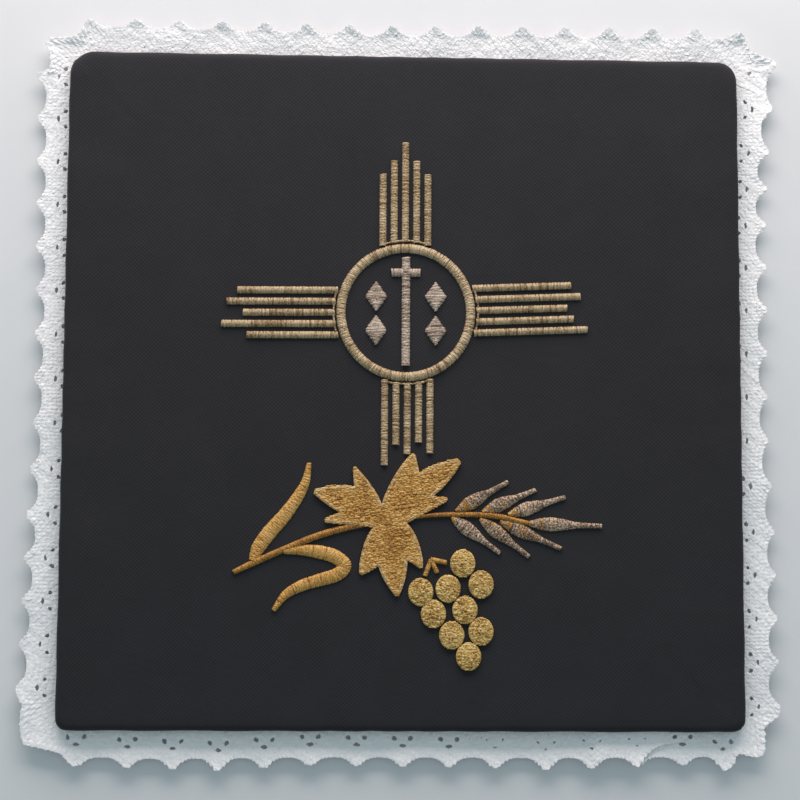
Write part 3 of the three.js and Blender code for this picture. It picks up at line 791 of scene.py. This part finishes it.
row_pitch = 0.3
fill_stitch = 1.1
ribbon_pitch = 0.22
leaf_gold = [(0.1, (0.21, 0.075, 0.008, 1)), (0.45, (0.47, 0.23, 0.036, 1)), (0.9, (0.68, 0.43, 0.15, 1))]
# The outline run's colour, lighter and greyer than the leaf's: a painted highlight on the edges
rim_gold_painted_highlight = [(0.1, (0.28, 0.155, 0.06, 1)), (0.45, (0.46, 0.3, 0.14, 1)), (0.9, (0.62, 0.46, 0.27, 1))]
leaf_chance = np.random.default_rng(47)


def bezier(points, steps):
    """Places on a Bezier curve through its first and last point, without the first."""
    share = np.linspace(0, 1, steps + 1)[1:, None]
    points = [np.asarray(point, float) for point in points]
    while len(points) > 1:
        points = [a * (1 - share) + b * share for a, b in zip(points, points[1:])]
    return list(np.broadcast_to(points[0], (steps, 2)))


def polar(centre, degrees, distance):
    return centre + distance * np.array([math.cos(math.radians(degrees)), math.sin(math.radians(degrees))])


def half_lobe(aim, reach, side, fork, tooth_turn, tooth, full):
    """One edge of a lobe, from the fork beside it out to its point."""
    edge = [polar(leaf_centre, *fork)]
    root = polar(leaf_centre, aim + side * tooth_turn * (1 + full), tooth * 0.42)
    swell = polar(leaf_centre, aim + side * tooth_turn * (1 + 0.3 * full), tooth * 0.84)
    tooth_tip = polar(leaf_centre, aim + side * (tooth_turn + bluntness), tooth)
    edge += bezier([edge[0], root, swell, tooth_tip], 10)
    edge.append(polar(leaf_centre, aim + side * (tooth_turn - bluntness), tooth))
    notch = polar(leaf_centre, aim + side * tooth_turn * notch_turn, tooth * notch_reach)
    tip = polar(leaf_centre, aim + side * bluntness, reach)
    bend = polar(leaf_centre, aim + side * tooth_turn * 0.4, reach * 0.8)
    return edge + [notch] + bezier([notch, bend, tip], 8)


def lobe_outline(index):
    """The edge of one lobe, from the fork before it to the fork after it."""
    aim, reach, before, after, fork = leaf_lobes[index]
    first = half_lobe(aim, reach, -1, leaf_lobes[index - 1][4], *before)
    second = half_lobe(aim, reach, 1, fork, *after)
    return np.array(first + second[::-1])


def cut_row(start, end, length, chance):
    """Divides a row of thread into stitches of about a length, with uneven ends."""
    cuts = [start]
    while cuts[-1] < end:
        cuts.append(cuts[-1] + length * chance.uniform(0.55, 1.45))
    cuts[-1] = end
    if len(cuts) > 2 and cuts[-1] - cuts[-2] < 0.35 * length:
        cuts.pop(-2)
    if len(cuts) > 2:
        cuts[1] = start + (cuts[2] - start) * chance.uniform(0.3, 0.7)
    return list(zip(cuts[:-1], cuts[1:]))


def fill_rows(outline, aim, chance, height, stitch=fill_stitch, pitch=row_pitch, edge=0.1):
    """Rows of stitches over an outline, all in one direction."""
    rotated = turn(outline, -aim)
    paths = []
    for row in np.arange(rotated[:, 1].min() + pitch * 0.6, rotated[:, 1].max() - pitch * 0.3, pitch):
        level = row + chance.normal(0, 0.02)
        crossings = []
        for (x1, y1), (x2, y2) in zip(rotated, np.roll(rotated, -1, 0)):
            if (y1 > level) != (y2 > level):
                crossings.append(x1 + (x2 - x1) * (level - y1) / (y2 - y1))
        crossings.sort()
        for start, end in zip(crossings[::2], crossings[1::2]):
            if end - start < 2 * edge + 0.3:
                continue
            for first, last in cut_row(start + edge, end - edge, stitch, chance):
                lean = chance.normal(0, 0.03)
                ends = turn(np.array([[first, level - lean], [last, level + lean]]), aim)
                paths.append(laid_stitch(ends[0], ends[1], height + chance.normal(0, 0.03)))
    return paths


def follow(line, widths, step=0.3):
    """A smooth line through points: places, directions and half widths along it."""
    points = np.array(line, float)
    ends = np.vstack([2 * points[0] - points[1], points, 2 * points[-1] - points[-2]])
    places, halves = [], []
    for i in range(len(points) - 1):
        a, b, c, d = ends[i:i + 4]
        share = np.linspace(0, 1, max(int(np.linalg.norm(c - b) / step), 2), endpoint=False)[:, None]
        places.append(0.5 * (2 * b + (c - a) * share + (2 * a - 5 * b + 4 * c - d) * share ** 2
                             + (3 * b - a - 3 * c + d) * share ** 3))
        halves.append(widths[i] + (widths[i + 1] - widths[i]) * share[:, 0])
    places = np.vstack(places + [points[-1:]])
    ahead = np.gradient(places, axis=0)
    ahead /= np.linalg.norm(ahead, axis=1, keepdims=True)
    return places, ahead, np.concatenate(halves + [[widths[-1]]]) / 2


def ribbon_satin(line, widths, height, chance, gap=None):
    """Satin stitches across a blade or stem, but not within gap = (place, distance)."""
    places, ahead, half_wide = follow(line, widths)
    length = distances(places)
    at = np.arange(0.15, length[-1] - 0.1, ribbon_pitch)
    columns = np.column_stack([places, ahead, half_wide])
    places, ahead, half_wide = np.split(
        np.stack([np.interp(at, length, column) for column in columns.T], -1), [2, 4], axis=1)
    ahead /= np.linalg.norm(ahead, axis=1, keepdims=True)
    if gap:
        keep = np.linalg.norm(places - gap[0], axis=1) > gap[1]
        places, ahead, half_wide = places[keep], ahead[keep], half_wide[keep]
    return satin_stitches(places, ahead, 2 * half_wide[:, 0], height, chance, inner=4, dimple=0.35)


def outline_run(outline, inset, height, chance, stitch=1.3):
    """A run of stitches just inside an outline that goes anticlockwise."""
    closed = np.vstack([outline, outline[:1]])
    length = distances(closed)
    at = np.linspace(0, length[-1], int(length[-1] / 0.25))
    places = np.column_stack([np.interp(at, length, closed[:, 0]), np.interp(at, length, closed[:, 1])])
    ahead = np.gradient(places, axis=0)
    ahead /= np.linalg.norm(ahead, axis=1, keepdims=True) + 1e-9
    row = places + np.column_stack([-ahead[:, 1], ahead[:, 0]]) * inset
    length = distances(row)
    paths = []
    for start, end in cut_row(0, length[-1], stitch, chance):
        at = start + (end - start) * stitch_share
        flat = np.column_stack([np.interp(at, length, row[:, 0]), np.interp(at, length, row[:, 1])])
        lift = face_height + height + chance.normal(0, 0.03) + stitch_dip
        paths.append(np.column_stack([flat, lift]))
    return paths


def padding(name, outline, depth, inset):
    """The low padding under a motif: its outline raised, with the top edge drawn in."""
    deselect()
    mesh = bpy.data.meshes.new(name)
    verts = [(x * MM, y * MM, (face_height + 0.03) * MM) for x, y in outline]
    mesh.from_pydata(verts, [], [tuple(range(len(verts)))])
    piece = link_piece(name, mesh)
    bpy.context.view_layer.objects.active = piece
    piece.select_set(True)
    bpy.ops.object.mode_set(mode="EDIT")
    bpy.ops.mesh.select_all(action="SELECT")
    bpy.ops.mesh.extrude_region_move(TRANSFORM_OT_translate={"value": (0, 0, depth * 0.6 * MM)})
    bpy.ops.mesh.inset(thickness=inset * MM, depth=depth * 0.4 * MM)
    bpy.ops.mesh.select_all(action="SELECT")
    bpy.ops.mesh.normals_make_consistent(inside=False)
    bpy.ops.object.mode_set(mode="OBJECT")
    give_thread(mesh, 0.15)
    return piece


leaf_thread = metallic_thread("leaf_gold_thread", leaf_gold)
leaf_outline = np.vstack([lobe_outline(index) for index in range(3)])
leaf_paths = fill_rows(leaf_outline, 8, leaf_chance, 0.6)
# Stitches nearer the edges are painted lighter: a painted highlight where the leaf slopes down
from_edge = np.linalg.norm(np.array(leaf_paths)[:, 2, None, :2] - leaf_outline, axis=2).min(1)
leaf = laid_piece("leaf_fill", leaf_paths, leaf_chance, brightness=0.42 + 0.3 * np.exp(-from_edge / 1.5))
# The outline run is painted lighter still: a painted highlight along the leaf's edges
rim_paths = outline_run(leaf_outline, 0.2, 0.52, leaf_chance)
rim_paths += outline_run(leaf_outline, 0.5, 0.62, leaf_chance)
leaf_rim = laid_piece("leaf_rim", rim_paths, leaf_chance, brightness=0.6)
blade_satin = [ribbon_satin(*blade, 0.6, leaf_chance) for blade in (straight_blade, folded_blade)]
blades = satin_piece("blade_satin", blade_satin, leaf_chance, brightness=0.58, spread=0.06)
stem_gap = (leaf_centre, 3.2)
stem_stitches = ribbon_satin(*stem_line, 0.62, leaf_chance, stem_gap)
stem = satin_piece("stem_satin", [stem_stitches], leaf_chance, brightness=0.29, spread=0.04)
leaf_padding = padding("leaf_padding", leaf_outline, 0.4, 0.3)
rim_highlight_thread = metallic_thread("leaf_rim_thread", rim_gold_painted_highlight)
for piece in (leaf, leaf_rim, blades, stem, leaf_padding):
    piece.data.materials.append(rim_highlight_thread if piece == leaf_rim else leaf_thread)
    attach(piece, "root")
    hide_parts("vine_spray")


# The ear of wheat: seven grains with long beards, in satin stitches of a flecked pale thread
# over padding. Stitches of the stem's own thread mix in towards the root of each grain.
grain_width = 2.9
grain_side = [(0, 0.1), (0.15, 0.36), (0.3, 0.5), (0.48, 0.4), (0.68, 0.2), (1, 0.135)]
root_tuck = 0.7
wheat_ear = [
    # grain, the place of its root, its aim and length, and how far the stem's thread mixes into it
    ("top_1", 12.1, -26.9, 29.7, 12.3, 1.8), ("top_2", 18, -27.1, 22.9, 11.9, 1.5),
    ("top_3", 23.7, -27.7, 17.4, 12.3, 2), ("end", 27.7, -29.9, -1.6, 15.8, 2.4),
    ("bottom_1", 11.1, -29.1, -36.2, 12.2, 1), ("bottom_2", 17.3, -29.4, -37.3, 12.8, 1.4),
    ("bottom_3", 21.8, -29.8, -23.6, 13.8, 3.2),
]
grain_chance = np.random.default_rng(59)
wheat_stops = [(0.1, (0.07, 0.036, 0.02, 1)), (0.45, (0.3, 0.2, 0.13, 1)), (0.9, (0.68, 0.54, 0.4, 1))]
wheat_thread = metallic_thread("wheat_thread", wheat_stops, fleck=2.2)
root_stitches = []
for name, x, y, aim, length, mixed in wheat_ear:
    axis = polar(np.zeros(2), aim, 1)
    root = np.array([x, y]) - axis * root_tuck
    side = np.array(grain_side) * (length + root_tuck, grain_width)
    upper = follow(side, np.ones(len(side)), 0.5)[0]
    outline = turn(np.vstack([upper * (1, -1), upper[::-1]]), aim) + root
    run = np.arange(0.1, length + root_tuck, ribbon_pitch)
    half_wide = np.interp(run, upper[:, 0], upper[:, 1])
    stitches, beside = satin_stitches(
        root + axis * run[:, None], np.tile(axis, (len(run), 1)), 2 * half_wide + 0.1,
        0.5 + 0.12 * half_wide, grain_chance, inner=4, dimple=0.6)
    of_stem = grain_chance.random(len(run)) < 1.1 * np.exp(-run / mixed)
    root_stitches.append((stitches[of_stem], beside[of_stem]))
    grain = satin_piece(f"wheat_satin_{name}", [(stitches[~of_stem], beside[~of_stem])], grain_chance,
                        brightness=0.44, spread=0.04)
    bed = padding(f"wheat_padding_{name}", outline, 0.25, 0.15)
    for piece in (grain, bed):
        piece.data.materials.append(wheat_thread)
        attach(piece, "root")
        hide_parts(f"wheat_grain_{name}")
roots = satin_piece("wheat_roots", root_stitches, grain_chance, brightness=0.42)
roots.data.materials.append(leaf_thread)
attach(roots, "root")


# The grapes and their forked stalk: nine domed patches of short level fill stitches in yellow
# gold thread, each with an outline run, and three short prongs of leaf thread above them.
grape_wide = 2.75
grape_tall = 3.0
grape_dome = 0.3
grape_rows = [[12.9], [3.7, 9.7, 16.9], [6.5, 13.4], [10.5, 16.9], [14.2]]
bunch_top = -39.1
grape_step = 5.1
grape_rise = 0.13
bunch_middle = 10
stalk_fork = np.array([6, -37.9])
stalk_prongs = [(-11, 3.4), (-66, 3.2), (249, 3.9)]
stalk_width = 0.95
grape_gold = [(0.1, (0.2, 0.09, 0.013, 1)), (0.45, (0.54, 0.335, 0.085, 1)), (0.9, (0.76, 0.56, 0.235, 1))]
grape_chance = np.random.default_rng(71)
grape_thread = metallic_thread("grape_gold_thread", grape_gold, fleck=1.9)
rim_paths = []
for row, places in enumerate(grape_rows):
    for index, x in enumerate(places):
        middle = np.array([x, bunch_top - row * grape_step + (x - bunch_middle) * grape_rise])
        angle = np.linspace(0, 2 * np.pi, 41)[:-1]
        outline = middle + np.column_stack([grape_wide * np.cos(angle), grape_tall * np.sin(angle)])
        stitches = fill_rows(outline, grape_chance.normal(0, 8), grape_chance, 0.5, stitch=0.8)
        for path in stitches:
            path[:, 2] += grape_dome * (1 - ((path[:, :2] - middle) ** 2).sum(1) / grape_tall ** 2)
        grape = laid_piece(f"grape_fill_{row + 1}_{index + 1}", stitches, grape_chance)
        bed = padding(f"grape_padding_{row + 1}_{index + 1}", outline, 0.35, 0.4)
        rim_paths += outline_run(outline, 0.18, 0.42, grape_chance)
        for piece in (grape, bed):
            piece.data.materials.append(grape_thread)
            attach(piece, "root")
            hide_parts(f"grape_{row + 1}_{index + 1}")
rims = laid_piece("grape_rims", rim_paths, grape_chance, brightness=0.75)
rims.data.materials.append(grape_thread)
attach(rims, "root")
prongs = []
for aim, length in stalk_prongs:
    end = stalk_fork + polar(np.zeros(2), aim, length)
    prong = [stalk_fork, (stalk_fork + end) / 2, end]
    prongs.append(ribbon_satin(prong, [stalk_width] * 3, 0.6, grape_chance))
stalk = satin_piece("stalk_satin", prongs, grape_chance, brightness=0.42)
stalk.data.materials.append(leaf_thread)
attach(stalk, "root")
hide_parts("grape_stalk")


# The table: a plain pale sheet of board that the pall lies on, matt and faintly mottled.
def pale_table():
    material, tree, shader = new_material("pale_table")
    place = add_node(tree, "ShaderNodeTexCoord").outputs["Object"]
    mottle = add_noise(tree, place, 60, 3)
    colour = ramp(tree, mottle, (0.3, (0.71, 0.71, 0.716, 1)), (0.7, (0.73, 0.73, 0.736, 1)))
    tree.links.new(colour, shader.inputs["Base Color"])
    shader.inputs["Roughness"].default_value = 0.7
    return material


deselect()
bpy.ops.mesh.primitive_plane_add(size=3, location=(0, 0, 0))
table = bpy.context.object
table.name = "table"
table.data.materials.append(pale_table())


# Light and camera: one broad low window beyond the top edge of the pall, with a cool even
# room light, seen from nearly overhead with a long lens.
window_place = (0, 0.394, 0.151)
window_aim = np.array([0, -0.02, 0]) - window_place
bpy.ops.object.light_add(type="AREA", location=window_place)
window = bpy.context.object
window.name = "window"
window.data.shape = "RECTANGLE"
window.data.size = 0.6
window.data.size_y = 0.2
window.data.energy = 3.2
window.data.color = (1, 0.89, 0.87)
window.rotation_euler = (
    math.atan2(math.hypot(window_aim[0], window_aim[1]), -window_aim[2]),
    0,
    math.atan2(-window_aim[0], window_aim[1]),
)

room = bpy.data.worlds.new("room")
room.use_nodes = True
sky = room.node_tree.nodes["Background"]
sky.inputs["Color"].default_value = (0.752, 0.93, 1, 1)
sky.inputs["Strength"].default_value = 0.465
bpy.context.scene.world = room
bpy.context.scene.view_settings.view_transform = "Standard"

camera_data = bpy.data.cameras.new("camera")
camera = bpy.data.objects.new("camera", camera_data)
bpy.context.collection.objects.link(camera)
camera.location = (-20.737 * MM, -53.294 * MM, 450 * MM)
camera.rotation_euler = (0.11233, -0.04476, 0.00477)
camera_data.sensor_width = 36
camera_data.lens = 91.66
camera_data.clip_start = 0.02
camera_data.clip_end = 10
bpy.context.scene.camera = camera
